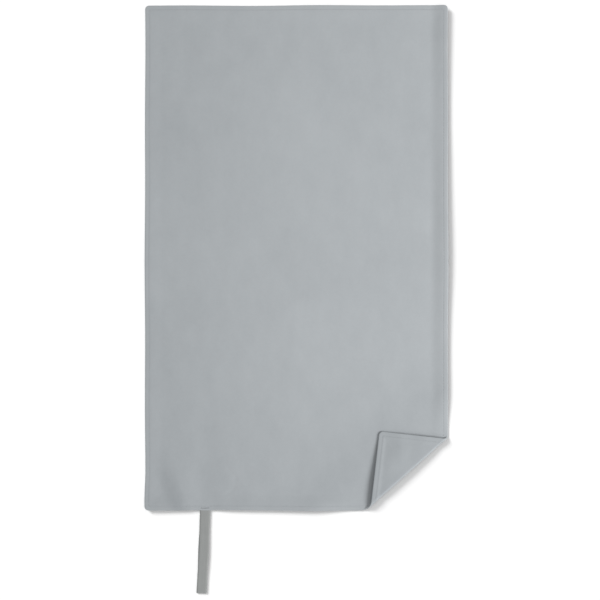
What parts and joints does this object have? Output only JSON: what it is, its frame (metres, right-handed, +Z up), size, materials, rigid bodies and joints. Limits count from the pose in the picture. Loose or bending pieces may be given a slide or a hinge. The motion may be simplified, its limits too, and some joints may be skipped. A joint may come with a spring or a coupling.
{
  "type": "quick dry towel",
  "caption": "Quick dry travel towel of thin suede-like microfibre, hemmed all round, with a flat hanging loop sewn in one end hem and one corner turned over; folds in half.",
  "frame": {"origin": "middle of the flat towel's outline, hanging loop included, on the surface it lies on", "axes": "+Y runs along the towel's length away from the hanging loop, +Z is up from the surface it lies on, +X completes the frame"},
  "size_m": [0.3001, 0.5822, 0.008],
  "materials": {
    "towel_cloth": "matte",
    "hem_cloth": "matte",
    "seam_thread": "matte",
    "loop_tape": "matte"
  },
  "bodies": {
    "lower_half": {"panel_lower": "towel_cloth", "hem_left_lower": "hem_cloth", "hem_right_lower": "hem_cloth", "hem_bottom": "hem_cloth", "seam_left_lower": "seam_thread", "seam_right_lower": "seam_thread", "seam_bottom": "seam_thread", "crease_under": "towel_cloth", "loop_tails": "loop_tape", "loop_bar_tack": "seam_thread"},
    "upper_half": {"panel_upper": "towel_cloth", "hem_left_upper": "hem_cloth", "hem_right_upper": "hem_cloth", "hem_top": "hem_cloth", "seam_left_upper": "seam_thread", "seam_right_upper": "seam_thread", "seam_top": "seam_thread"},
    "turned_corner": {"corner_panel": "towel_cloth", "corner_hem_side": "hem_cloth", "corner_hem_end": "hem_cloth", "corner_seam_side": "seam_thread", "corner_seam_end": "seam_thread", "crease_over": "towel_cloth"},
    "hanging_loop": {"loop_front_leg": "loop_tape", "loop_back_leg": "loop_tape", "loop_end_turn": "loop_tape"}
  },
  "joints": [
    {"name": "middle_fold", "type": "hinge", "parent": "lower_half", "child": "upper_half", "pos_m": [0, 0.04107, 0.00525], "axis": [1, 0, 0], "range_deg": [0, 180]},
    {"name": "corner_fold", "type": "hinge", "parent": "lower_half", "child": "turned_corner", "pos_m": [0.11063, -0.17393, 0.004], "axis": [0.7474, 0.6644, 0], "range_deg": [0, 180]},
    {"name": "loop_swing", "type": "hinge", "parent": "lower_half", "child": "hanging_loop", "pos_m": [-0.0904, -0.20893, 0.0021], "axis": [-1, 0, 0], "range_deg": [0, 180]}
  ]
}
